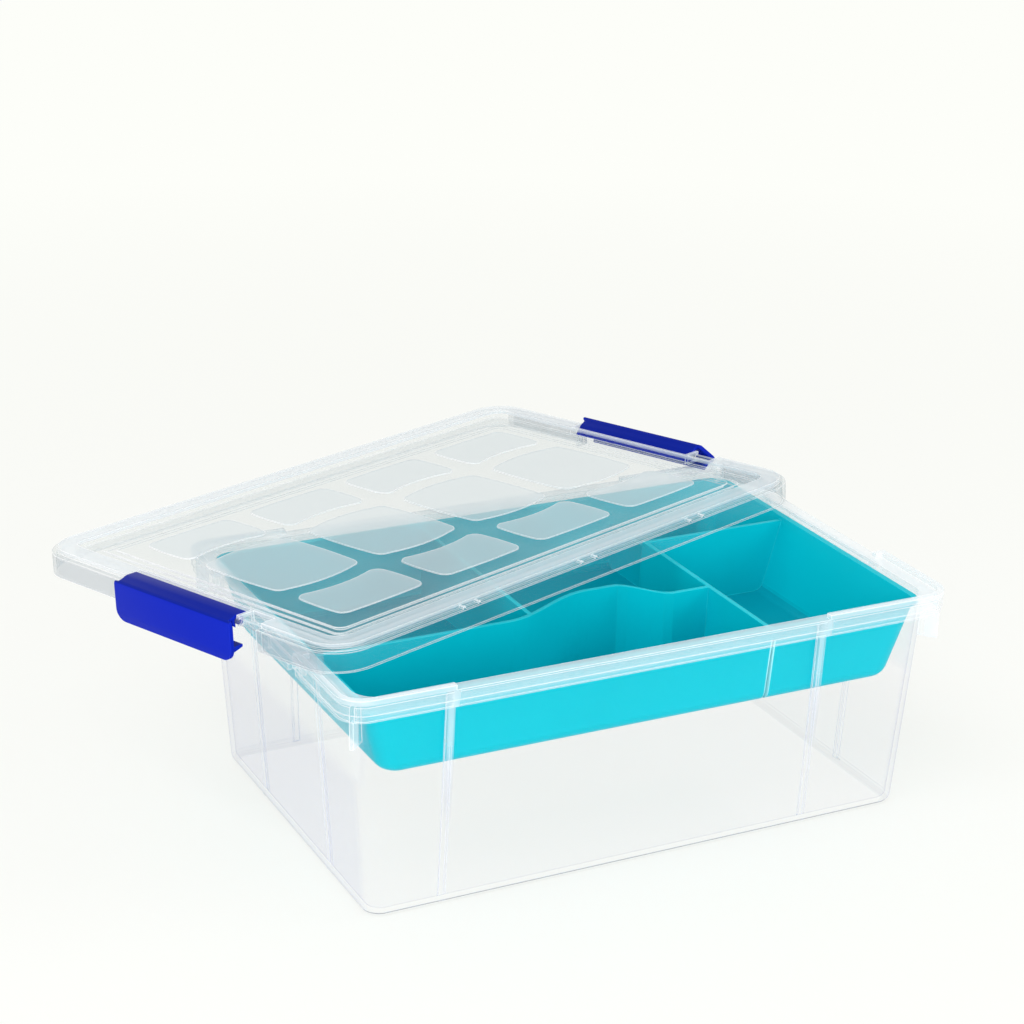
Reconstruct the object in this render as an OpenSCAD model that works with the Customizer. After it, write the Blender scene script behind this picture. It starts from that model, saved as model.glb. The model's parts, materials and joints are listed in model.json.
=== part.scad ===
// Clear latching storage case with a divided lift-out tray, lid laid askew on the open box.
// Millimetres. X runs along the case, Y from front to back, Z up, origin under the box's middle.

/* [Box] */
// Length of the rim between its recessed ends
rim_l = 300; // [270:1:330]
// Width of the rim, front to back
rim_w = 202; // [180:1:230]
// Height of the box up to the rim's flat top
box_h = 109; // [90:1:140]
// Thickness of the box walls
wall_t = 2; // [1.6:0.1:2.4]
// Thickness of the box floor
floor_t = 2.2; // [1.8:0.1:3]
// Step from the rim's edge in to the top of the walls
wall_inset = 4.4; // [4:0.1:6]
// Step from the rim's edge in to the foot of the walls
base_inset = 12; // [9:0.5:14]
// Corner radius of the mouth's outline, measured at the rim's edge
rim_r = 18; // [15:0.5:24]
// Corner radius of the walls at their foot
base_r = 9; // [7:0.5:12]
// Radius of the rounded edge round the floor
foot_r = 4; // [3:0.5:5]

/* [Rim] */
// Reach of the rim's corners past its recessed ends
corner_out = 3.5; // [3:0.1:4]
// Outer corner radius of the rim
corner_r = 13; // [11:0.5:16]
// Thickness of the rim's flat top
rim_t = 2; // [1.6:0.1:2.6]
// Height of the rim's upper band
band_h = 5; // [4:0.5:6]
// Full drop of the rim's turned-down edge
rim_drop = 8.4; // [7.5:0.1:10]
// Thickness of the turned-down edge
flange_t = 1.4; // [1.2:0.1:1.8]
// Step back of the rim's lower band
band_step = 0.8; // [0.4:0.1:1]
// Width of the raised lip round each corner
lip_w = 3.2; // [2.4:0.1:4]
// Height of the raised lip round each corner
lip_h = 2.2; // [1.5:0.1:3]
// Length of the left corner lips along the front and the back
left_zone = 48; // [36:1:60]
// Length of the right corner lips along the front and the back
right_zone = 65; // [40:1:80]
// Distance between the tray ribs at each end
end_gap = 80; // [70:1:90]
// Play between the rim's recess and the lid's hinge brackets
recess_play = 0.3; // [0.2:0.1:1]
// Reach of the ledge that each latch hooks under
ledge_out = 3.4; // [3:0.1:3.8]
// Length of the ledge that each latch hooks under
ledge_l = 72; // [60:1:74]
// Thickness of the ledge that each latch hooks under
ledge_t = 3; // [2.5:0.1:3.5]
// Height of the web under each corner of the rim
web_h = 13; // [10:1:20]
// Thickness of the web under each corner of the rim
web_t = 2; // [1.6:0.1:2.6]

/* [Tray] */
// Height of the tray
tray_h = 38.8; // [30:0.2:50]
// Drop of the tray's top below the rim
tray_drop = 3.2; // [2.6:0.1:5]
// Thickness of the tray's walls
tray_t = 1.4; // [1.2:0.1:2]
// Gap between the tray's lip and the mouth of the box
tray_gap = 0.7; // [0.5:0.1:1]
// Width of the lip that the tray hangs by
tray_lip = 1.6; // [1.3:0.1:2]
// Slope of the tray's two end walls over its height
end_slope = 11.5; // [6:0.5:14]
// Slope of the tray's front and back walls over its height
side_slope = 5; // [3:0.5:8]
// Radius of the rounded edge round the tray's floor
tray_edge_r = 5; // [3:0.5:7]
// Width of the ribs inside the box that carry the tray
rib_w = 3; // [2:0.5:4]
// Reach of the ribs inside the box that carry the tray
rib_out = 1.6; // [1.3:0.1:1.7]
// Rest gap between pieces that lie on each other
seat_gap = 0.1; // [0.05:0.05:0.3]

/* [Dividers] */
// Drop of the dividers' tops below the tray's top
divider_drop = 1.6; // [0:0.1:4]
// Thickness of a divider at its top
divider_top = 2.2; // [1.8:0.1:3]
// Thickness of a divider at the tray's floor
divider_foot = 4.8; // [4.2:0.1:6]
// Width of the groove under a divider
groove_w = 2; // [1.2:0.1:2.4]
// Place of the divider behind the wavy one, from the middle
back_divider_x = -32; // [-60:1:-10]
// Place of the right-hand divider, from the middle
right_divider_x = 61; // [50:1:80]
// Place of the low divider at the back, from the middle
low_divider_x = 75; // [66:1:95]
// Drop of the low divider's top below the tray's top
low_drop = 15; // [8:1:22]
// Place of the right-hand cross divider, from the middle
cross_divider_y = 29; // [15:1:45]
// Place of the wavy divider's straight ends, from the middle
wave_y = -33.5; // [-50:0.5:-15]
// Depth of the wavy divider's bulge
wave_h = 19; // [8:1:24]

/* [Lid] */
// Reach of the lid past the rim on each side
lid_over = 7; // [6.5:0.1:8]
// Height of the lid's skirt
skirt_h = 10.2; // [9:0.1:12]
// Thickness of the lid's walls
lid_t = 1.6; // [1.4:0.1:2]
// Corner radius of the lid
lid_r = 20; // [18:0.5:26]
// Width of the step round the lid's edge
shoulder_w = 3; // [2:0.1:4]
// Width of the raised rail round the lid
rail_w = 9.6; // [8.5:0.1:11]
// Height of the raised rail above the step
rail_h = 2.2; // [1.6:0.1:3]
// Width of the gutter inside the rail
gutter_w = 9; // [6:0.5:12]
// Drop of the gutter below the step's top
gutter_drop = 1.4; // [0.6:0.1:1.6]
// Width of the border round the deck
border_w = 3.6; // [2:0.1:5]
// Height of each step up from the gutter to the deck
deck_step = 0.5; // [0.4:0.1:0.9]

/* [Windows] */
// Distance between window centres along the lid
window_pitch = 63; // [58:0.5:66]
// Length of each window
window_l = 50.5; // [44:0.5:54]
// Width of the middle row's windows at their corners
middle_w = 55; // [46:0.5:58]
// Width of the outer rows' windows
outer_w = 32.5; // [26:0.5:36]
// Space between two rows of windows
row_gap = 11; // [8:0.5:14]
// Bulge of the middle row's front and back edges
window_bulge = 3; // [1:0.5:5]
// Corner radius of a window
window_r = 5; // [3:0.5:8]
// Height of the windows above the deck
window_h = 0.6; // [0.3:0.1:1]

/* [Latch] */
// Length of each latch's face
latch_l = 83; // [78:0.5:90]
// Reach of the face past the latch's clip at each end
face_over = 2; // [1:0.1:3]
// Play at each end of a latch
latch_play = 0.6; // [0.4:0.1:1]
// Diameter of the hinge bar
bar_d = 3.4; // [3:0.1:3.6]
// Running clearance of a latch round its bar
bar_gap = 0.15; // [0.1:0.05:0.2]
// Thickness of the clip round the bar
clip_t = 1.3; // [1.1:0.05:1.4]
// Gap between a closed latch's clip and the rim's recessed end
clip_gap = 0.2; // [0.1:0.05:0.4]
// Reach of the latch's thin top edge past the clip
top_reach = 1.6; // [0.8:0.1:2.2]
// Thickness of the latch's top
top_t = 1.1; // [0.9:0.1:1.3]
// Width of the clip's snap-on mouth
clip_mouth = 2.9; // [2.5:0.1:3.1]
// Depth of the notch in the lid that holds a latch
notch_w = 11; // [10.5:0.1:12]
// Height of the latch's face below the bar
latch_drop = 17.6; // [15:0.2:22]
// Thickness of the latch's face
face_t = 2.2; // [1.8:0.1:2.6]
// Gap between the latch's face and the lid's skirt line
face_gap = 1; // [0.8:0.1:1.6]
// Thickness of the latch's hook
hook_t = 1.3; // [1:0.1:2]
// Grip of the hook under the ledge
hook_grip = 1.8; // [1:0.1:2.4]
// Length of the open bracket beside each latch
bracket_l = 16; // [10:1:20]
// Opening of the right latch, which stands clear of the rim
right_open = 50; // [49:1:60]

/* [Rest] */
// Turn of the lid on the box
lid_yaw = 19.27; // [15:0.01:22]
// Place of the lid's middle, left to right
lid_x = -35.8; // [-42:0.1:-30]
// Place of the lid's middle, front to back
lid_y = 73.6; // [68:0.1:78]
// Gap between the lid and the rim that it lies on
rest_gap = 0.3; // [0.2:0.05:0.5]

/* [Hidden] */
$fn = 64;
hull_fn = 40;
eps = 0.01;

clear = [0.88, 0.91, 0.95, 0.45];
teal = [0.03, 0.75, 0.82];
royal_blue = [0.07, 0.12, 0.72];

mouth_inset = wall_inset + wall_t;
wall_draft = (base_inset - wall_inset) / box_h;
mouth_r = rim_r - mouth_inset;
lid_l = rim_l + 2 * lid_over;
lid_w = rim_w + 2 * lid_over;
left_lip_x = -rim_l / 2 + left_zone;
right_lip_x = rim_l / 2 - right_zone;

tray_top = box_h - tray_drop;
tray_lip_t = tray_t;
tray_seat = tray_top - tray_lip_t - seat_gap;
tray_bottom = tray_top - tray_h;
tray_lip_inset = mouth_inset + tray_gap;
tray_body_inset = tray_lip_inset + tray_lip;
tray_body_l = rim_l - 2 * tray_body_inset;
tray_body_w = rim_w - 2 * tray_body_inset;
tray_r = max(rim_r - tray_body_inset, tray_edge_r + 1);
divider_z = tray_top - divider_drop;

rail_top = skirt_h + rail_h;
rail_inset = shoulder_w + rail_w;
gutter_top = skirt_h - gutter_drop;
border_inset = rail_inset + gutter_w;
deck_inset = border_inset + border_w;
border_top = gutter_top + deck_step;
deck_top = border_top + deck_step;
deck_under = deck_top - lid_t;

bar_r = bar_d / 2;
bore_r = bar_r + bar_gap;
clip_r = bore_r + clip_t;
bar_x = rim_l / 2 + clip_gap + clip_r;
bar_in = lid_l / 2 - bar_x;
bar_z = rail_top - clip_r;
clip_l = latch_l - 2 * face_over;
notch_back = clip_l / 2 + latch_play;
notch_front = -notch_back - bracket_l;

// The brackets face the back when the lid is closed, so the recess reaches further there.
recess_front = -notch_back - lid_t - recess_play;
recess_back = -notch_front + lid_t + recess_play;

// The lid's closed height: its step lies on the corner lips, or its gutter on the rim's flat top.
closed_z = box_h + lid_t - min(gutter_top, skirt_h - lip_h);
ledge_under = box_h - rim_drop;
hook_top = ledge_under - closed_z - 2 * seat_gap - bar_z;
ledge_x = rim_l / 2 + ledge_out - bar_x;

// The lid at rest: its skirt lies on two corner lips and its deck on a third.
along = [cos(lid_yaw), sin(lid_yaw)];
across = [-sin(lid_yaw), cos(lid_yaw)];
lid_mid = [lid_x, lid_y];
contact_angle = 123;
rim_end = rim_l / 2 + corner_out;
near_arc = lid_mid - (lid_l / 2 - lid_r) * along - (lid_w / 2 - lid_r) * across;
near_dx = -rim_end - near_arc[0];
near_dy = sqrt(max(0, pow(lid_r - lid_t, 2) - near_dx * near_dx));
touch_a = [-rim_end, near_arc[1] - near_dy];
far_side = lid_mid + lid_l / 2 * along;
touch_b = far_side + (rim_w / 2 - far_side[1]) / across[1] * across;
touch_c = [-rim_end + corner_r * (1 + cos(contact_angle)), rim_w / 2 - corner_r * (1 - sin(contact_angle))];
chord = touch_b - touch_a;
chord_normal = [-chord[1], chord[0]];
tilt = -deck_under / (chord_normal * (touch_c - touch_a)) * chord_normal;
lid_pitch = -atan(tilt * along);
lid_roll = atan(tilt * across * cos(lid_pitch));
lid_z = box_h + lip_h + rest_gap - tilt * (touch_a - lid_mid);

function smooth(t) = let (u = min(max(t, 0), 1)) u * u * (3 - 2 * u);

// Round-cornered rectangle centred on the origin.
module rounded(l, w, r) {
    square([l - 2 * r, w], center = true);
    square([l, w - 2 * r], center = true);
    for (x = [-1, 1], y = [-1, 1])
        translate([x * (l / 2 - r), y * (w / 2 - r)])
            circle(r);
}

// Band of a plan outline between two insets from its edge.
module band(l, w, r, from, to, r_min = 4) {
    difference() {
        rounded(l - 2 * from, w - 2 * from, max(r - from, r_min));
        rounded(l - 2 * to, w - 2 * to, max(r - to, r_min));
    }
}

module slab(l, w, r, z) {
    translate([0, 0, z])
        linear_extrude(eps)
            rounded(l, w, r, $fn = hull_fn);
}

// Drafted tub with a rounded edge round its floor.
module tub(top_l, top_w, top_r, foot_l, foot_w, foot_corner, edge, z0, z1) {
    slope_l = (top_l - foot_l) / (z1 - z0);
    slope_w = (top_w - foot_w) / (z1 - z0);
    hull() {
        for (a = [0 : 22.5 : 90]) {
            rise = edge * (1 - cos(a));
            in = 2 * edge * (1 - sin(a));
            slab(foot_l + slope_l * rise - in, foot_w + slope_w * rise - in,
                 max(foot_corner - in / 2, 1), z0 + rise);
        }
        slab(top_l, top_w, top_r, z1 - eps);
    }
}

module box_outside() {
    tub(rim_l - 2 * wall_inset, rim_w - 2 * wall_inset, rim_r - wall_inset,
        rim_l - 2 * base_inset, rim_w - 2 * base_inset, base_r, foot_r, 0, box_h - eps);
}

module box_inside() {
    in = base_inset + wall_t - wall_draft * floor_t;
    tub(rim_l - 2 * mouth_inset, rim_w - 2 * mouth_inset, mouth_r,
        rim_l - 2 * in, rim_w - 2 * in, base_r - 1, foot_r - 1, floor_t, box_h + 1);
}

// Plan of the rim, inset from its edge, with a recess for the latch at each end.
module rim_plan(inset) {
    difference() {
        rounded(rim_l + 2 * (corner_out - inset), rim_w - 2 * inset, max(corner_r - inset, 4));
        for (side = [-1, 1])
            translate([side * (rim_l / 2 - inset + rim_w), (recess_front + recess_back) / 2])
                square([2 * rim_w, recess_back - recess_front + 2 * inset], center = true);
    }
}

module rim_band(from, to) {
    difference() {
        rim_plan(from);
        rim_plan(to);
    }
}

// Turned-down rim in two bands, open underneath.
module rim() {
    translate([0, 0, box_h - rim_t])
        linear_extrude(rim_t)
            difference() {
                rim_plan(0);
                rounded(rim_l - 2 * mouth_inset, rim_w - 2 * mouth_inset, mouth_r);
            }
    translate([0, 0, box_h - band_h])
        linear_extrude(band_h)
            rim_band(0, flange_t);
    translate([0, 0, box_h - rim_drop])
        linear_extrude(rim_drop - rim_t / 2)
            rim_band(band_step, band_step + flange_t);
}

// Raised lips round the four corners, left out along the sides.
module corner_lips() {
    difference() {
        translate([0, 0, box_h - rim_t / 2])
            linear_extrude(lip_h + rim_t / 2)
                rim_band(0, lip_w);
        translate([left_lip_x, -rim_w, box_h])
            cube([right_lip_x - left_lip_x, 2 * rim_w, 2 * lip_h]);
        translate([-rim_l, recess_front, box_h])
            cube([2 * rim_l, recess_back - recess_front, 2 * lip_h]);
    }
}

module latch_ledges() {
    for (side = [-1, 1])
        translate([side * (rim_l / 2 - band_step - flange_t / 2 + (ledge_out + band_step + flange_t / 2) / 2),
                   0, ledge_under + ledge_t / 2])
            cube([ledge_out + band_step + flange_t / 2, ledge_l, ledge_t], center = true);
}

// Upright web between the wall and the rim at each corner.
module corner_webs() {
    reach = corner_r - band_step - flange_t / 2;
    root = corner_r - base_inset;
    for (x = [-1, 1], y = [-1, 1])
        translate([x * (rim_l / 2 + corner_out - corner_r), y * (rim_w / 2 - corner_r), 0])
            rotate([0, 0, atan2(y, x)])
                rotate([90, 0, 0])
                    linear_extrude(web_t, center = true)
                        polygon([[root, box_h - rim_t / 2], [reach, box_h - rim_t / 2],
                                 [reach, ledge_under - web_h], [root, ledge_under - web_h]]);
}

// Upright rib on the inside of a wall whose inner face lies at the given distance; its top carries the tray.
module tray_rib(inner_top) {
    z0 = floor_t / 2;
    face_top = inner_top - wall_draft * (box_h - tray_seat);
    face_foot = inner_top - wall_draft * (box_h - z0);
    root = wall_t / 2;
    rotate([90, 0, 0])
        linear_extrude(rib_w, center = true)
            polygon([[face_foot - rib_out, z0], [face_foot + root, z0],
                     [face_top + root, tray_seat], [face_top - rib_out, tray_seat]]);
}

module tray_ribs() {
    for (x = [left_lip_x, right_lip_x], side = [-1, 1])
        translate([x, 0, 0])
            rotate([0, 0, side * 90])
                tray_rib(rim_w / 2 - mouth_inset);
    for (y = [-1, 1] * end_gap / 2, side = [0, 180])
        rotate([0, 0, side])
            translate([0, y, 0])
                tray_rib(rim_l / 2 - mouth_inset);
}

module storage_box() {
    color(clear) {
        difference() {
            union() {
                box_outside();
                corner_webs();
            }
            box_inside();
        }
        rim();
        corner_lips();
        latch_ledges();
        tray_ribs();
    }
}

// Line of the wavy divider, from front to back at a given place along the tray.
function wave_at(x) =
    let (rise_from = -45, rise_to = 5, fall_from = 20, fall_to = 41)
    wave_y + wave_h * (smooth((x - rise_from) / (rise_to - rise_from))
                       - smooth((x - fall_from) / (fall_to - fall_from)));

module tray_outside() {
    tub(tray_body_l, tray_body_w, tray_r,
        tray_body_l - 2 * end_slope, tray_body_w - 2 * side_slope, tray_r,
        tray_edge_r, tray_bottom, tray_top);
}

module tray_inside() {
    tub(tray_body_l - 2 * tray_t, tray_body_w - 2 * tray_t, tray_r - tray_t,
        tray_body_l - 2 * (end_slope + tray_t), tray_body_w - 2 * (side_slope + tray_t), tray_r - tray_t,
        tray_edge_r - tray_t, tray_bottom + tray_t, tray_top + eps);
}

// Straight drafted divider along X from its own origin.
module divider(length, top_z) {
    rotate([90, 0, 90])
        linear_extrude(length)
            polygon([[-divider_foot / 2, tray_bottom], [divider_foot / 2, tray_bottom],
                     [divider_top / 2, top_z], [-divider_top / 2, top_z]]);
}

// Groove that opens a divider from below.
module groove(length, top_z) {
    roof = divider_top * 2;
    rotate([90, 0, 90])
        linear_extrude(length)
            polygon([[-groove_w / 2, tray_bottom - 1], [groove_w / 2, tray_bottom - 1],
                     [groove_w / 5, top_z - roof], [-groove_w / 5, top_z - roof]]);
}

module straight_dividers() {
    translate([back_divider_x, wave_at(back_divider_x), 0])
        rotate([0, 0, 90])
            divider(rim_w / 2 - wave_at(back_divider_x), divider_z);
    translate([right_divider_x, -rim_w / 2, 0])
        rotate([0, 0, 90])
            divider(rim_w / 2 + cross_divider_y + divider_top / 2, divider_z);
    translate([low_divider_x, cross_divider_y, 0])
        rotate([0, 0, 90])
            divider(rim_w / 2 - cross_divider_y, tray_top - low_drop);
    translate([right_divider_x - divider_top / 2, cross_divider_y, 0])
        divider(rim_l / 2 - right_divider_x + divider_top / 2, divider_z);
}

module divider_grooves() {
    translate([back_divider_x, wave_at(back_divider_x) + divider_foot, 0])
        rotate([0, 0, 90])
            groove(rim_w, divider_z);
    translate([right_divider_x, -rim_w, 0])
        rotate([0, 0, 90])
            groove(rim_w + cross_divider_y - divider_foot, divider_z);
    translate([low_divider_x, cross_divider_y + divider_foot, 0])
        rotate([0, 0, 90])
            groove(rim_w, tray_top - low_drop);
    translate([right_divider_x + divider_foot, cross_divider_y, 0])
        groove(rim_l, divider_z);
}

module wavy_divider() {
    step = 4;
    ends = [-rim_l / 2, right_divider_x];
    count = round((ends[1] - ends[0]) / step);
    line = [for (i = [0 : count]) let (x = ends[0] + (ends[1] - ends[0]) * i / count) [x, wave_at(x)]];
    half = [0, divider_top / 2];
    translate([0, 0, tray_bottom + tray_t / 2])
        linear_extrude(divider_z - tray_bottom - tray_t / 2)
            polygon(concat([for (p = line) p - half], [for (i = [count : -1 : 0]) line[i] + half]));
}

module divided_tray() {
    color(teal) {
        difference() {
            union() {
                difference() {
                    tray_outside();
                    tray_inside();
                }
                intersection() {
                    union() {
                        straight_dividers();
                        wavy_divider();
                    }
                    tray_outside();
                }
            }
            divider_grooves();
        }
        translate([0, 0, tray_top - tray_lip_t])
            linear_extrude(tray_lip_t)
                band(rim_l, rim_w, rim_r, tray_lip_inset, tray_body_inset + tray_t / 2);
    }
}

// Puts a piece drawn in the lid's own frame where the lid lies on the box.
module on_box() {
    translate([lid_x, lid_y, lid_z])
        rotate([lid_roll, lid_pitch, lid_yaw])
            children();
}

module lid_band(from, to, z0, z1) {
    translate([0, 0, z0])
        linear_extrude(z1 - z0)
            band(lid_l, lid_w, lid_r, from, to);
}

// Skirt, step, rail and gutter round the lid, each one wall thick.
module lid_edge() {
    lid_band(0, lid_t, 0, skirt_h);
    lid_band(0, shoulder_w + lid_t, skirt_h - lid_t, skirt_h);
    lid_band(shoulder_w, shoulder_w + lid_t, skirt_h - lid_t, rail_top);
    lid_band(shoulder_w, rail_inset, rail_top - lid_t, rail_top);
    lid_band(rail_inset - lid_t, rail_inset, gutter_top - lid_t, rail_top);
    lid_band(rail_inset - lid_t, border_inset + lid_t, gutter_top - lid_t, gutter_top);
    lid_band(border_inset, deck_inset + lid_t, border_top - lid_t, border_top);
}

module deck() {
    translate([0, 0, deck_under])
        linear_extrude(lid_t)
            rounded(lid_l - 2 * deck_inset, lid_w - 2 * deck_inset, 5);
}

function corner_arc(centre, r, from) =
    [for (i = [0 : 5]) centre + r * [cos(from + 18 * i), sin(from + 18 * i)]];

function bowed_side(a, b, bow) =
    [for (i = [1 : 7]) let (t = i / 8) a + (b - a) * t + 4 * t * (1 - t) * bow];

// Outline of a window with bowed edges; a negative bow is hollow.
function window_outline(l, w, r, front_bow, back_bow, side_bow) =
    let (x = l / 2, y = w / 2)
    concat(corner_arc([x - r, y - r], r, 0),
           bowed_side([x - r, y], [r - x, y], [0, back_bow]),
           corner_arc([r - x, y - r], r, 90),
           bowed_side([-x, y - r], [-x, r - y], [-side_bow, 0]),
           corner_arc([r - x, r - y], r, 180),
           bowed_side([r - x, -y], [x - r, -y], [0, -front_bow]),
           corner_arc([x - r, r - y], r, 270),
           bowed_side([x, r - y], [x, y - r], [side_bow, 0]));

module windows() {
    outer_y = middle_w / 2 + row_gap + outer_w / 2;
    for (i = [-1.5 : 1 : 1.5])
        translate([i * window_pitch, 0, deck_top - eps])
            linear_extrude(window_h + eps) {
                polygon(window_outline(window_l, middle_w, window_r, window_bulge, window_bulge, 1));
                for (side = [-1, 1])
                    translate([0, side * outer_y])
                        scale([1, side])
                            polygon(window_outline(window_l, outer_w, window_r, -window_bulge, 0.5, 0.5));
            }
}

// Small stop ribs on the step of the long sides.
module stop_ribs() {
    stop_pitch = 76;
    pair = 9.4;
    for (side = [-1, 1], i = [-1 : 1], j = [-0.5, 0.5])
        translate([i * stop_pitch + j * pair, side * (lid_w / 2 - shoulder_w / 2), skirt_h + 0.5])
            cube([1.2, shoulder_w, 1], center = true);
}

// Notch at the lid's right-hand end, open from the edge inwards.
module latch_notch() {
    translate([lid_l / 2 - notch_w, notch_front, -1])
        cube([notch_w + 1, notch_back - notch_front, rail_top + 2]);
}

// Hinge bar across the right-hand notch, with the cheeks and the web that carry it.
module hinge_bracket() {
    root = lid_l / 2 - notch_w - lid_t / 2;
    foot = bar_x - clip_r;
    under = gutter_top - lid_t;
    for (y = [notch_front - lid_t, notch_back]) {
        translate([foot, y, 0])
            cube([lid_l / 2 - foot, lid_t, skirt_h]);
        translate([root, y, under])
            cube([lid_l / 2 - shoulder_w - root, lid_t, rail_top - under]);
    }
    translate([bar_x, notch_back + lid_t / 2, bar_z])
        rotate([90, 0, 0])
            cylinder(h = notch_back - notch_front + lid_t, d = bar_d);
    translate([root, notch_front + bracket_l - lid_t, under])
        cube([bar_x + bar_d / 3 - root, lid_t, rail_top - under]);
}

module both_ends() {
    children();
    mirror([1, 0, 0])
        children();
}

module lid() {
    color(clear)
        on_box() {
            difference() {
                lid_edge();
                both_ends()
                    latch_notch();
            }
            deck();
            windows();
            stop_ribs();
            both_ends()
                hinge_bracket();
        }
}

// Section of a right-hand latch's top, seen along the bar, which lies at the origin.
module latch_top() {
    inner = bar_in + face_gap;
    outer = inner + face_t;
    reach = clip_r + top_reach;
    polygon([[-reach, clip_r - top_t * 0.7], [-reach, clip_r], [0.1 * outer, clip_r],
             [0.3 * outer, clip_r - 0.35], [0.5 * outer, clip_r - 1], [0.7 * outer, clip_r - 1.3],
             [outer - 0.8, clip_r - 1.6], [outer - 0.8, -clip_r / 2], [inner + 0.3, -clip_r / 2],
             [inner, -clip_r / 4], [0.5 * outer, clip_r - 1 - top_t * 1.2],
             [bore_r, 0], [0, bore_r + clip_t / 2], [-bore_r, clip_r - top_t]]);
}

// Section of the latch's face, with its rounded ridge above and its turned-in edge below.
module latch_face_section() {
    inner = bar_in + face_gap;
    outer = inner + face_t;
    polygon([[inner, -clip_r / 4], [inner + 0.6, clip_r - 1.8], [outer - 0.8, clip_r - 1.6],
             [outer - 0.2, clip_r - 2.1], [outer, clip_r - 2.8],
             [outer, -latch_drop * 0.8], [outer - 0.4, -latch_drop],
             [inner - 0.4, -latch_drop], [inner, -latch_drop * 0.8]]);
}

// Section of the hook that catches under the rim's ledge.
module latch_hook() {
    inner = bar_in + face_gap;
    tip = ledge_x - hook_grip;
    polygon([[tip, hook_top], [tip, hook_top - hook_t], [inner, hook_top - hook_t - hook_grip],
             [inner + face_t / 2, hook_top - hook_t - hook_grip], [inner + face_t / 2, hook_top]]);
}

// The latch's face seen from the end of the lid, with its lower corners rounded.
module latch_outline() {
    corner = 6;
    low = corner - latch_drop;
    translate([-latch_l / 2, low])
        square([latch_l, 2 * clip_r - low]);
    translate([corner - latch_l / 2, -latch_drop])
        square([latch_l - 2 * corner, 2 * corner]);
    for (side = [-1, 1])
        translate([side * (latch_l / 2 - corner), low])
            circle(corner);
}

module along_bar(length) {
    rotate([90, 0, 0])
        linear_extrude(length, center = true)
            children();
}

// Right-hand latch, hanging closed: a clip snapped round the bar, a top over it, a face and a hook.
module latch() {
    intersection() {
        along_bar(latch_l)
            latch_face_section();
        rotate([90, 0, 90])
            linear_extrude(4 * clip_r)
                latch_outline();
    }
    along_bar(clip_l)
        latch_hook();
    difference() {
        along_bar(clip_l)
            latch_top();
        rotate([90, 0, 0])
            cylinder(h = latch_l, r = bore_r, center = true);
    }
    rotate([90, 0, 0])
        difference() {
            cylinder(h = clip_l, r = clip_r, center = true);
            cylinder(h = latch_l, r = bore_r, center = true);
            translate([-clip_mouth / 2, -2 * clip_r, -latch_l])
                cube([clip_mouth, 2 * clip_r, 2 * latch_l]);
        }
}

module latch_left() {
    color(royal_blue)
        on_box()
            translate([-bar_x, 0, bar_z])
                mirror([1, 0, 0])
                    latch();
}

module latch_right() {
    color(royal_blue)
        on_box()
            translate([bar_x, 0, bar_z])
                rotate([0, -right_open, 0])
                    latch();
}

storage_box();
divided_tray();
lid();
latch_left();
latch_right();
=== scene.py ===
"""Photo keeper case: a clear latching box, a teal divided tray and a clear lid laid askew on it.

Everything is in metres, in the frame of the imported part: X along the case, Y to the back, Z up.
"""
import json
from math import radians

import bpy
from mathutils import Euler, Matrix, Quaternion, Vector

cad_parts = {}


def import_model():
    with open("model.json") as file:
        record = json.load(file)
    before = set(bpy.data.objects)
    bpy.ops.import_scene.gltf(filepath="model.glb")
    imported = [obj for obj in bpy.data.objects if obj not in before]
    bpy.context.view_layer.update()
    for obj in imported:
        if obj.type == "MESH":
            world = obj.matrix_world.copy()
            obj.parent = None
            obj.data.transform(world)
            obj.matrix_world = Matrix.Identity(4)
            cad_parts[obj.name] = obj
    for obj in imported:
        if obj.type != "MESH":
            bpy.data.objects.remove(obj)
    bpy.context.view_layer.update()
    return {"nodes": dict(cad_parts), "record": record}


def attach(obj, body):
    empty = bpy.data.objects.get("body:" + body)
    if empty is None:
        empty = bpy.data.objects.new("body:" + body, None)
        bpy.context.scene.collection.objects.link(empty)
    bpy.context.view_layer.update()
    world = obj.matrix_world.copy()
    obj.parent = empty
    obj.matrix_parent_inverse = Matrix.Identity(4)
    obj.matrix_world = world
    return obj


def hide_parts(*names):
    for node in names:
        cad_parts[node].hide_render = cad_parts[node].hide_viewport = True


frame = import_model()
scene = bpy.context.scene
MM = 0.001

# The camera, fitted to the straight edges of the box and the lid.
CAMERA_AT = Vector((-512.97, -969.86, 551.34)) * MM
CAMERA_LOOK = Vector((0.41899, 0.8369, -0.3522))
CAMERA_ROLL = radians(1.16)
CAMERA_LENS = 87.8

# Colours are linear.
WHITE = (0.991, 1.0, 0.956, 1)
BRIGHT = (1.0, 1.0, 1.0, 1)
FLOOR_GREY = (0.9, 0.9, 0.9, 1)
# Painted shade on the box's edges that look down.
BOX_PAINTED_EDGE_SHADE = (0.60, 0.63, 0.70, 1)
# Painted shade: a dark line at the box's foot, standing in for shade and refraction there.
FOOT_PAINTED_SHADE = (0.16, 0.17, 0.20, 1)
# Painted shade on the lid's edges that look down.
LID_PAINTED_EDGE_SHADE = (0.92, 0.98, 1.0, 1)
MILK = (0.92, 0.97, 1.0, 1)
RAIL = (0.86, 0.91, 0.95, 1)
SKIRT = (0.40, 0.46, 0.52, 1)
FROST = (0.64, 0.72, 0.75, 1)
BOX_FILM = (0.16, 0.20, 0.62, 1)
LID_FILM = (0.37, 0.47, 0.50, 1)
TEAL = (0.0, 0.58, 0.69, 1)
# Painted highlight along the tray's edges.
TEAL_PAINTED_HIGHLIGHT = (0.05, 0.74, 0.84, 1)
# Painted shade on the tray's floors.
TEAL_PAINTED_SHADE = (0.0, 0.36, 0.46, 1)
# Painted light in the groove of the tray's front divider.
GROOVE_PAINTED_LIGHT = (0.45, 0.95, 1.0, 1)
ROYAL_BLUE = (0.005, 0.020, 0.49, 1)
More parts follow.
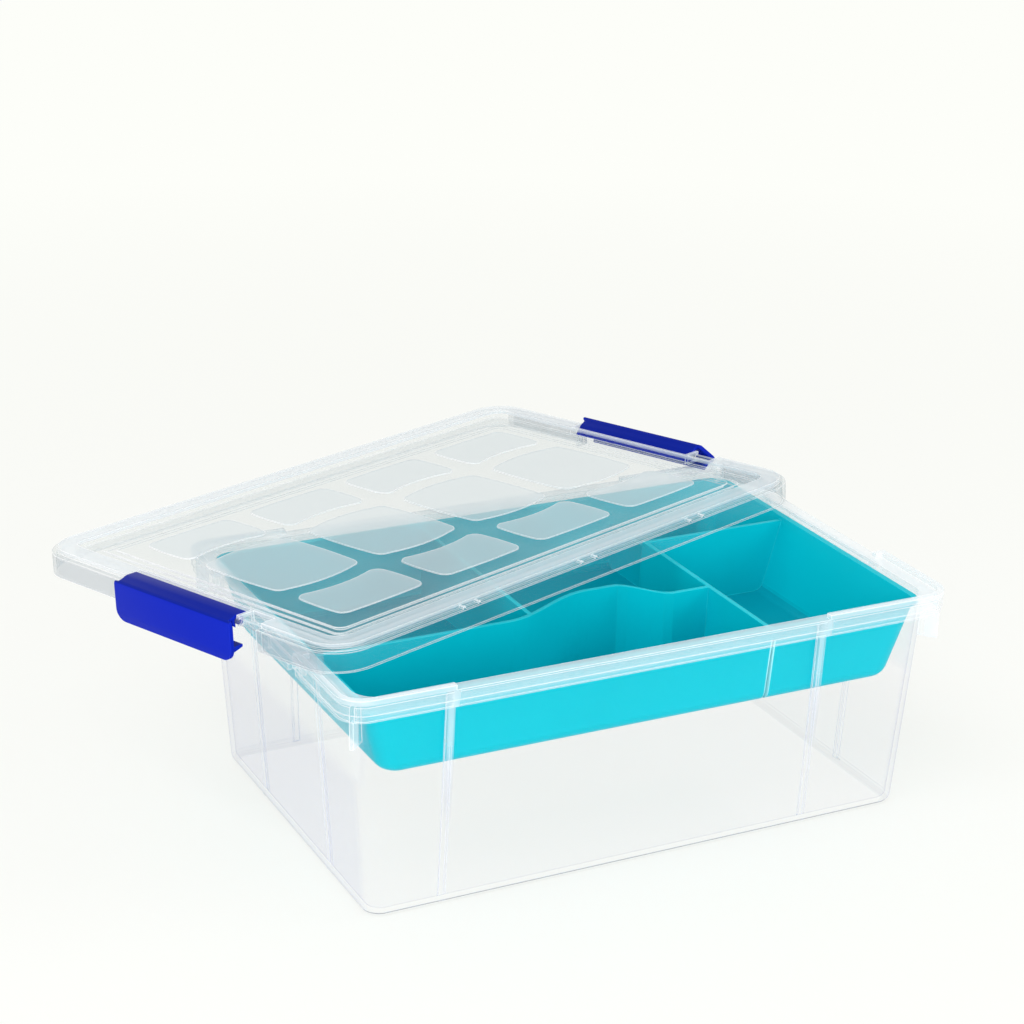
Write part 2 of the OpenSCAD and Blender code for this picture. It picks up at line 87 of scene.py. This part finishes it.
# Painted shade on the latch's faces that look up.
BLUE_PAINTED_SHADE = (0.003, 0.014, 0.27, 1)
# Painted highlight along the latch's edges.
BLUE_PAINTED_HIGHLIGHT = (0.02, 0.05, 0.66, 1)

# Places on the box. A corner web is found by the sum of its distances along X and Y.
RIB_LEFT, RIB_RIGHT, RIB_HALF, RIB_FOOT = -0.102, 0.085, 0.0016, 0.060
WEB_AT, WEB_HALF, WEB_FOOT, WEB_TOP = 0.2405, 0.004, 0.087, 0.1000
BOX_END, END_FOOT = 0.1405, 0.066
FOOT_TOP = 0.0019
RIM_FOOT, RIM_TOP = 0.1005, 0.1089
# The Z of the normals of the slanted faces at the box's foot, and its spread.
FOOT_SLANT, FOOT_SLANT_HALF = -0.68, 0.24

# Places on the tray.
TRAY_FLOORS_BELOW, TRAY_FRONT, TRAY_LIP_FOOT = 0.090, -0.085, 0.099
GROOVE_X, GROOVE_HALF = 0.061, 0.0011

# Where the lid lies, and places on it as measured from its own middle and foot.
LID_AT = Vector((-35.8, 73.6, 108.089)) * MM
LID_TURN = Euler((radians(-3.42326), radians(-0.68011), radians(19.27)), "XYZ")
LID_END = 0.1545
DECK_HALF_X, DECK_HALF_Y = 0.1295, 0.0805
WINDOW_LEVEL, RAIL_LEVEL = 0.0102, 0.0106

# How dense the milky places of the clear plastic and its painted foot shade are, from 0 to 1.
FOOT_DENSITY, END_DENSITY, WEB_DENSITY, RIB_DENSITY = 0.6, 0.1, 0.4, 0.26
RIM_DENSITY, RIM_TOP_DENSITY = 0.13, 0.38
SKIRT_DENSITY, RAIL_DENSITY, WINDOW_DENSITY = 0.28, 0.34, 0.53
# The edge densities let the painted edge highlight and painted edge shade show.
EDGE_DENSITY, UPWARD_EDGE_DENSITY = 0.12, 0.68

# Gloss of the clear plastic seen straight on, and what a full slant adds.
GLANCE, SLANT_GLANCE = 0.003, 0.15
SLANT_POWER = 4.0

PLASTIC_IOR = 1.49
EDGE_GAIN = 5.0
SOLID_EDGE_RADIUS = 0.6 * MM
LATCH_ROUNDING = 0.35 * MM


# ---------------------------------------------------------------- node helpers

def new_material(name):
    material = bpy.data.materials.new(name)
    material.use_nodes = True
    tree = material.node_tree
    tree.nodes.clear()
    return material, tree


def add(tree, kind, **settings):
    """A node with its settings, and its inputs by name."""
    node = tree.nodes.new(kind)
    inputs = settings.pop("inputs", {})
    for key, value in settings.items():
        setattr(node, key, value)
    for key, value in inputs.items():
        if isinstance(value, bpy.types.NodeSocket):
            tree.links.new(value, node.inputs[key])
        else:
            node.inputs[key].default_value = value
    return node


def combine(tree, operation, first, second):
    """Two values or sockets in one sum, kept between 0 and 1."""
    return add(tree, "ShaderNodeMath", operation=operation, use_clamp=True,
               inputs={0: first, 1: second}).outputs[0]


def size_of(tree, value):
    """A length without its sign."""
    return add(tree, "ShaderNodeMath", operation="ABSOLUTE", inputs={0: value}).outputs[0]


def parts(tree, vector):
    """The X, Y and Z of a vector."""
    return add(tree, "ShaderNodeSeparateXYZ", inputs={0: vector}).outputs


def ramp(tree, value, start, end, low=0.0, high=1.0):
    """From low at start to high at end, level beyond them."""
    return add(tree, "ShaderNodeMapRange",
               inputs={"Value": value, "From Min": start, "From Max": end,
                       "To Min": low, "To Max": high}).outputs[0]


def above(tree, value, level, soft):
    """1 above a level, 0 below it, blended over soft to either side."""
    return ramp(tree, value, level - soft, level + soft)


def below(tree, value, level, soft):
    """1 below a level, 0 above it, blended over soft to either side."""
    return combine(tree, "SUBTRACT", 1.0, above(tree, value, level, soft))


def near(tree, value, centre, half, soft):
    """1 where a length lies within half of centre, falling to 0 over soft."""
    off = add(tree, "ShaderNodeMath", operation="SUBTRACT", inputs={0: value, 1: centre})
    return ramp(tree, size_of(tree, off.outputs[0]), half + soft, half)


def blend_colours(tree, mask, first, second):
    """The first colour where the mask is 0 and the second where it is 1."""
    tone = add(tree, "ShaderNodeMix", data_type="RGBA", inputs={"Factor": mask})
    # Sockets 6 and 7 and output 2 are the colour ones of this node.
    for socket, colour in ((tone.inputs[6], first), (tone.inputs[7], second)):
        if isinstance(colour, bpy.types.NodeSocket):
            tree.links.new(colour, socket)
        else:
            socket.default_value = colour
    return tone.outputs[2]


# ---------------------------------------------------------------- shared effects

def new_group(name, inputs, outputs):
    """A shader group with float inputs and their starts, and outputs with their kinds."""
    tree = bpy.data.node_groups.new(name, "ShaderNodeTree")
    for label, start in inputs:
        socket = tree.interface.new_socket(label, in_out="INPUT", socket_type="NodeSocketFloat")
        socket.default_value = start
    for label, kind in outputs:
        tree.interface.new_socket(label, in_out="OUTPUT", socket_type=kind)
    return tree, tree.nodes.new("NodeGroupInput"), tree.nodes.new("NodeGroupOutput")


def moulding_group():
    """Fine unevenness of a moulded surface: a roughness and a normal."""
    tree, given, result = new_group(
        "moulded surface",
        (("Roughness", 0.3), ("Spread", 0.1), ("Grain", 900.0), ("Depth", 0.05)),
        (("Roughness", "NodeSocketFloat"), ("Normal", "NodeSocketVector")))
    place = add(tree, "ShaderNodeTexCoord").outputs["Object"]
    cloud = add(tree, "ShaderNodeTexNoise",
                inputs={"Vector": place, "Scale": 35.0, "Detail": 3.0})
    around = add(tree, "ShaderNodeMath", operation="SUBTRACT",
                 inputs={0: cloud.outputs["Fac"], 1: 0.5})
    offset = add(tree, "ShaderNodeMath", operation="MULTIPLY",
                 inputs={0: around.outputs[0], 1: given.outputs["Spread"]})
    rough = combine(tree, "ADD", given.outputs["Roughness"], offset.outputs[0])
    grain = add(tree, "ShaderNodeTexNoise",
                inputs={"Vector": place, "Scale": given.outputs["Grain"], "Detail": 2.0})
    bump = add(tree, "ShaderNodeBump",
               inputs={"Strength": given.outputs["Depth"], "Distance": 0.1 * MM,
                       "Height": grain.outputs["Fac"]})
    tree.links.new(rough, result.inputs["Roughness"])
    tree.links.new(bump.outputs["Normal"], result.inputs["Normal"])
    return tree


def edge_group():
    """Edges of a piece: a mask along them, a normal that rounds them, and how far that looks up."""
    tree, given, result = new_group(
        "rounded edges",
        (("Radius", 0.5 * MM), ("Gain", 4.0)),
        (("Mask", "NodeSocketFloat"), ("Normal", "NodeSocketVector"),
         ("Upward", "NodeSocketFloat")))
    round_edge = add(tree, "ShaderNodeBevel", samples=6,
                     inputs={"Radius": given.outputs["Radius"]}).outputs["Normal"]
    flat = add(tree, "ShaderNodeNewGeometry").outputs["True Normal"]
    turn = add(tree, "ShaderNodeVectorMath", operation="DOT_PRODUCT",
               inputs={0: round_edge, 1: flat})
    away = combine(tree, "SUBTRACT", 1.0, turn.outputs["Value"])
    mask = combine(tree, "MULTIPLY", away, given.outputs["Gain"])
    upward = ramp(tree, parts(tree, round_edge)["Z"], -0.9, -0.5)
    tree.links.new(mask, result.inputs["Mask"])
    tree.links.new(round_edge, result.inputs["Normal"])
    tree.links.new(upward, result.inputs["Upward"])
    return tree


MOULDING = moulding_group()
EDGES = edge_group()


def moulded(tree, roughness, spread, grain, depth):
    """The moulded surface placed in a material."""
    return add(tree, "ShaderNodeGroup", node_tree=MOULDING,
               inputs={"Roughness": roughness, "Spread": spread, "Grain": grain, "Depth": depth})


def edges(tree, radius):
    """The rounded edges placed in a material."""
    return add(tree, "ShaderNodeGroup", node_tree=EDGES,
               inputs={"Radius": radius, "Gain": EDGE_GAIN})


def faces_up(tree):
    """1 on faces that look up, 0 on upright ones."""
    turn = add(tree, "ShaderNodeNewGeometry").outputs["Normal"]
    return above(tree, parts(tree, turn)["Z"], 0.5, 0.2)


# ---------------------------------------------------------------- tray and latches

def latch_zones(tree, place):
    """Painted shade: the latch is darker in tone where it looks up."""
    return ((faces_up(tree), BLUE_PAINTED_SHADE),)


def tray_zones(tree, place):
    """Painted shade on the tray's floors, and painted light in the groove of its front divider."""
    x, y, z = parts(tree, place)
    # Painted shade on the floors.
    floors = combine(tree, "MULTIPLY", faces_up(tree),
                     below(tree, z, TRAY_FLOORS_BELOW, 4 * MM))
    # Painted light in the groove of the front divider.
    front = below(tree, y, TRAY_FRONT, 1 * MM)
    under_lip = combine(tree, "SUBTRACT", front, above(tree, z, TRAY_LIP_FOOT, 0.5 * MM))
    groove = combine(tree, "MULTIPLY", near(tree, x, GROOVE_X, GROOVE_HALF, 0.3 * MM), under_lip)
    return (floors, TEAL_PAINTED_SHADE), (groove, GROOVE_PAINTED_LIGHT)


def solid_plastic(name, colour, painted_edge_highlight, zones, roughness, specular, edge):
    """Opaque moulded plastic with a slightly uneven tone and gloss, a painted highlight along its
    edges, and the painted light and shade of its zones.
    """
    material, tree = new_material(name)
    surface = moulded(tree, roughness, spread=0.1, grain=1400.0, depth=0.05)
    place = add(tree, "ShaderNodeTexCoord").outputs["Object"]
    cloud = add(tree, "ShaderNodeTexNoise",
                inputs={"Vector": place, "Scale": 12.0, "Detail": 2.0})
    darker = tuple(c * 0.9 for c in colour[:3]) + (1,)
    tone = blend_colours(tree, cloud.outputs["Fac"], darker, colour)
    # Each zone blends in a painted tone: painted shade on the tray's floors and the latch's tops,
    # painted light in the tray's groove.
    for mask, painted_tone in zones(tree, place):
        tone = blend_colours(tree, mask, tone, painted_tone)
    rounded = edges(tree, SOLID_EDGE_RADIUS).outputs
    # Painted highlight: edges blend towards the paler colour.
    tone = blend_colours(tree, combine(tree, "MULTIPLY", rounded["Mask"], edge), tone, painted_edge_highlight)
    plastic = add(tree, "ShaderNodeBsdfPrincipled",
                  inputs={"Base Color": tone, "Roughness": surface.outputs["Roughness"],
                          "Normal": rounded["Normal"], "IOR": PLASTIC_IOR,
                          "Specular IOR Level": specular})
    add(tree, "ShaderNodeOutputMaterial", inputs={"Surface": plastic.outputs[0]})
    return material


# ---------------------------------------------------------------- box and lid

def box_zones(tree, place):
    """The box's milky places and its painted foot shade, each a mask, a density and a colour.

    From the foot up: a painted dark foot line standing in for shade and refraction, end walls
    beside the tray, corner webs, tray ribs, rim, rim's top.
    """
    x, y, z = parts(tree, place)
    along, across = size_of(tree, x), size_of(tree, y)
    flange = above(tree, z, RIM_FOOT, 0.1 * MM)
    top = above(tree, z, RIM_TOP, 0.05 * MM)

    # Painted shade: a dark line on the slanted faces at the foot.
    turn = add(tree, "ShaderNodeNewGeometry").outputs["True Normal"]
    slanted = near(tree, parts(tree, turn)["Z"], FOOT_SLANT, FOOT_SLANT_HALF, 0.04)
    foot = combine(tree, "MULTIPLY", slanted, below(tree, z, FOOT_TOP, 0.2 * MM))

    beside_tray = combine(tree, "SUBTRACT", above(tree, z, END_FOOT, 3 * MM), flange)
    ends = combine(tree, "MULTIPLY", above(tree, along, BOX_END, 1.5 * MM), beside_tray)

    corner = near(tree, combine(tree, "ADD", along, across), WEB_AT, WEB_HALF, 0.3 * MM)
    web_height = combine(tree, "SUBTRACT", above(tree, z, WEB_FOOT, 0.5 * MM),
                         above(tree, z, WEB_TOP, 0.1 * MM))
    webs = combine(tree, "MULTIPLY", corner, web_height)

    ribs = combine(tree, "MAXIMUM", near(tree, x, RIB_LEFT, RIB_HALF, 0.3 * MM),
                   near(tree, x, RIB_RIGHT, RIB_HALF, 0.3 * MM))
    ribs = combine(tree, "MULTIPLY", ribs, above(tree, z, RIB_FOOT, 20 * MM))
    return ((foot, FOOT_DENSITY, FOOT_PAINTED_SHADE), (ends, END_DENSITY, MILK),
            (webs, WEB_DENSITY, MILK), (ribs, RIB_DENSITY, MILK),
            (flange, RIM_DENSITY, MILK), (top, RIM_TOP_DENSITY, MILK))


def lid_zones(tree, place):
    """The lid's milky places, each a mask, a density and a colour.

    From its ends inwards: the skirt across its ends, the rail, the frosted windows.
    """
    own = add(tree, "ShaderNodeMapping", vector_type="TEXTURE",
              inputs={"Vector": place, "Location": LID_AT, "Rotation": LID_TURN})
    x, y, z = parts(tree, own.outputs[0])
    deck = combine(tree, "MULTIPLY", near(tree, x, 0.0, DECK_HALF_X, 0.2 * MM),
                   near(tree, y, 0.0, DECK_HALF_Y, 0.2 * MM))
    window = combine(tree, "MULTIPLY", deck, above(tree, z, WINDOW_LEVEL, 0.05 * MM))
    border = combine(tree, "SUBTRACT", 1.0, deck)
    rail = combine(tree, "MULTIPLY", border, above(tree, z, RAIL_LEVEL, 0.1 * MM))
    skirt = above(tree, size_of(tree, x), LID_END, 0.2 * MM)
    return ((skirt, SKIRT_DENSITY, SKIRT), (rail, RAIL_DENSITY, RAIL),
            (window, WINDOW_DENSITY, FROST))


def clear_plastic(name, zones, tint, painted_edge_shade, haze, slant_haze, edge_radius):
    """Thin clear polypropylene: a faint film, denser at a slant, milky in places.

    Along its edges it has a painted highlight where they look up, and painted shade where they look
    down.
    """
    material, tree = new_material(name)
    surface = moulded(tree, 0.12, spread=0.06, grain=60.0, depth=0.02)
    place = add(tree, "ShaderNodeTexCoord").outputs["Object"]
    edge = edges(tree, edge_radius).outputs
    slant = add(tree, "ShaderNodeLayerWeight", inputs={"Blend": 0.5}).outputs["Facing"]
    steep = combine(tree, "POWER", slant, SLANT_POWER)

    density = combine(tree, "ADD", haze, combine(tree, "MULTIPLY", steep, slant_haze))
    colour = tint
    # The zone colours are milky, except the box's painted foot shade.
    for mask, zone_density, milky in zones(tree, place):
        density = combine(tree, "MAXIMUM", density, combine(tree, "MULTIPLY", mask, zone_density))
        colour = blend_colours(tree, mask, colour, milky)

    # Painted light along the edges: a painted highlight where an edge looks up, painted shade where
    # it looks down.
    painted_edge_light = blend_colours(tree, edge["Upward"], painted_edge_shade, BRIGHT)
    colour = blend_colours(tree, edge["Mask"], colour, painted_edge_light)
    edge_density = combine(tree, "ADD", EDGE_DENSITY,
                           combine(tree, "MULTIPLY", edge["Upward"], UPWARD_EDGE_DENSITY))
    density = combine(tree, "MAXIMUM", density,
                      combine(tree, "MULTIPLY", edge["Mask"], edge_density))

    body = add(tree, "ShaderNodeBsdfPrincipled",
               inputs={"Base Color": colour, "Roughness": 0.45, "Specular IOR Level": 0.1,
                       "IOR": PLASTIC_IOR, "Alpha": density})
    gloss = add(tree, "ShaderNodeBsdfGlossy",
                inputs={"Color": BRIGHT, "Roughness": surface.outputs["Roughness"],
                        "Normal": surface.outputs["Normal"]})
    glance = combine(tree, "ADD", GLANCE, combine(tree, "MULTIPLY", steep, SLANT_GLANCE))
    mix = add(tree, "ShaderNodeMixShader",
              inputs={0: glance, 1: body.outputs[0], 2: gloss.outputs[0]})
    add(tree, "ShaderNodeOutputMaterial", inputs={"Surface": mix.outputs[0]})
    return material


# ---------------------------------------------------------------- looks of the solids

looks = {
    "clear_body": clear_plastic("clear box plastic", box_zones, BOX_FILM, BOX_PAINTED_EDGE_SHADE,
                                haze=0.005, slant_haze=0.24, edge_radius=0.9 * MM),
    "clear_lid": clear_plastic("clear lid plastic", lid_zones, LID_FILM, LID_PAINTED_EDGE_SHADE,
                               haze=0.03, slant_haze=0.42, edge_radius=1.1 * MM),
    "teal_tray": solid_plastic("teal tray plastic", TEAL, TEAL_PAINTED_HIGHLIGHT, tray_zones,
                               roughness=0.38, specular=0.12, edge=0.5),
    "blue_latch": solid_plastic("blue latch plastic", ROYAL_BLUE, BLUE_PAINTED_HIGHLIGHT, latch_zones,
                                roughness=0.36, specular=0.04, edge=0.6),
}
slots = {part["node"]: part["material_slot"] for part in frame["record"]["subparts"]}
for name, node in frame["nodes"].items():
    node.data.materials.clear()
    node.data.materials.append(looks[slots[name]])


def moulded_latch(node_name):
    """The latch with the soft edges of a moulding, in place of its sharp-edged solid."""
    node = frame["nodes"][node_name]
    bpy.ops.object.select_all(action="DESELECT")
    piece = bpy.data.objects.new(node_name + "_moulded", node.data.copy())
    scene.collection.objects.link(piece)
    bpy.context.view_layer.objects.active = piece
    piece.select_set(True)
    bpy.ops.object.mode_set(mode="EDIT")
    bpy.ops.mesh.select_all(action="SELECT")
    bpy.ops.mesh.remove_doubles(threshold=0.005 * MM)
    bpy.ops.mesh.dissolve_limited(angle_limit=radians(1))
    bpy.ops.object.mode_set(mode="OBJECT")
    rounding = piece.modifiers.new("rounding", "BEVEL")
    rounding.width = LATCH_ROUNDING
    rounding.segments = 3
    rounding.limit_method = "ANGLE"
    rounding.angle_limit = radians(32)
    bpy.ops.object.modifier_apply(modifier=rounding.name)
    bpy.ops.object.shade_smooth_by_angle(angle=radians(40))
    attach(piece, node_name)
    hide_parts(node_name)


for latch_name in ("latch_left", "latch_right"):
    moulded_latch(latch_name)


# ---------------------------------------------------------------- stage, light and camera

def sees_background(tree):
    """1 for what the camera sees directly, in a gloss or through clear plastic."""
    ray = add(tree, "ShaderNodeLightPath").outputs
    first = combine(tree, "MAXIMUM", ray["Is Camera Ray"], ray["Is Glossy Ray"])
    return combine(tree, "MAXIMUM", first, ray["Is Transmission Ray"])


def floor():
    """A matt floor that glows towards the background's white away from the case."""
    bpy.ops.object.select_all(action="DESELECT")
    bpy.ops.mesh.primitive_plane_add(size=8)
    plane = bpy.context.object
    plane.name = "floor"
    material, tree = new_material("pale floor")
    matt = add(tree, "ShaderNodeBsdfDiffuse", inputs={"Color": FLOOR_GREY})
    glow = add(tree, "ShaderNodeEmission", inputs={"Color": WHITE, "Strength": 1.0})
    place = add(tree, "ShaderNodeTexCoord").outputs["Object"]
    away = add(tree, "ShaderNodeVectorMath", operation="LENGTH", inputs={0: place})
    even = ramp(tree, away.outputs["Value"], 0.3, 1.3, low=0.76, high=0.98)
    share = combine(tree, "MULTIPLY", sees_background(tree), even)
    mix = add(tree, "ShaderNodeMixShader",
              inputs={0: share, 1: matt.outputs[0], 2: glow.outputs[0]})
    add(tree, "ShaderNodeOutputMaterial", inputs={"Surface": mix.outputs[0]})
    plane.data.materials.append(material)


def softbox(name, place, aim, size, power):
    """A rectangular lamp of a size in metres and a power in watts, turned to its aim."""
    light = bpy.data.lights.new(name, "AREA")
    light.shape = "RECTANGLE"
    light.size, light.size_y = size
    light.energy = power
    lamp = bpy.data.objects.new(name, light)
    scene.collection.objects.link(lamp)
    lamp.location = place
    lamp.rotation_mode = "QUATERNION"
    lamp.rotation_quaternion = (Vector(aim) - Vector(place)).to_track_quat("-Z", "Y")


def world():
    """Soft even light, seen as plain white."""
    sky = bpy.data.worlds.new("studio")
    scene.world = sky
    sky.use_nodes = True
    tree = sky.node_tree
    tree.nodes.clear()
    lit = add(tree, "ShaderNodeBackground", inputs={"Color": BRIGHT, "Strength": 0.52})
    seen = add(tree, "ShaderNodeBackground", inputs={"Color": WHITE, "Strength": 1.0})
    mix = add(tree, "ShaderNodeMixShader",
              inputs={0: sees_background(tree), 1: lit.outputs[0], 2: seen.outputs[0]})
    add(tree, "ShaderNodeOutputWorld", inputs={"Surface": mix.outputs[0]})


def camera():
    view = bpy.data.cameras.new("camera")
    view.lens = CAMERA_LENS
    view.clip_start, view.clip_end = 0.05, 50
    eye = bpy.data.objects.new("camera", view)
    scene.collection.objects.link(eye)
    eye.location = CAMERA_AT
    eye.rotation_mode = "QUATERNION"
    eye.rotation_quaternion = (CAMERA_LOOK.to_track_quat("-Z", "Y")
                               @ Quaternion((0, 0, 1), CAMERA_ROLL))
    scene.camera = eye


floor()
world()
softbox("key softbox", (-0.9, -0.5, 1.5), aim=(0, 0, 0.08), size=(1.2, 0.9), power=15)
softbox("front softbox", (-0.5, -1.5, 0.45), aim=(0, 0, 0.06), size=(1.4, 0.7), power=10)
softbox("fill softbox", (1.3, -0.7, 0.9), aim=(0, 0, 0.08), size=(0.8, 0.8), power=7)
camera()
scene.view_settings.view_transform = "Standard"
scene.cycles.transparent_max_bounces = 40
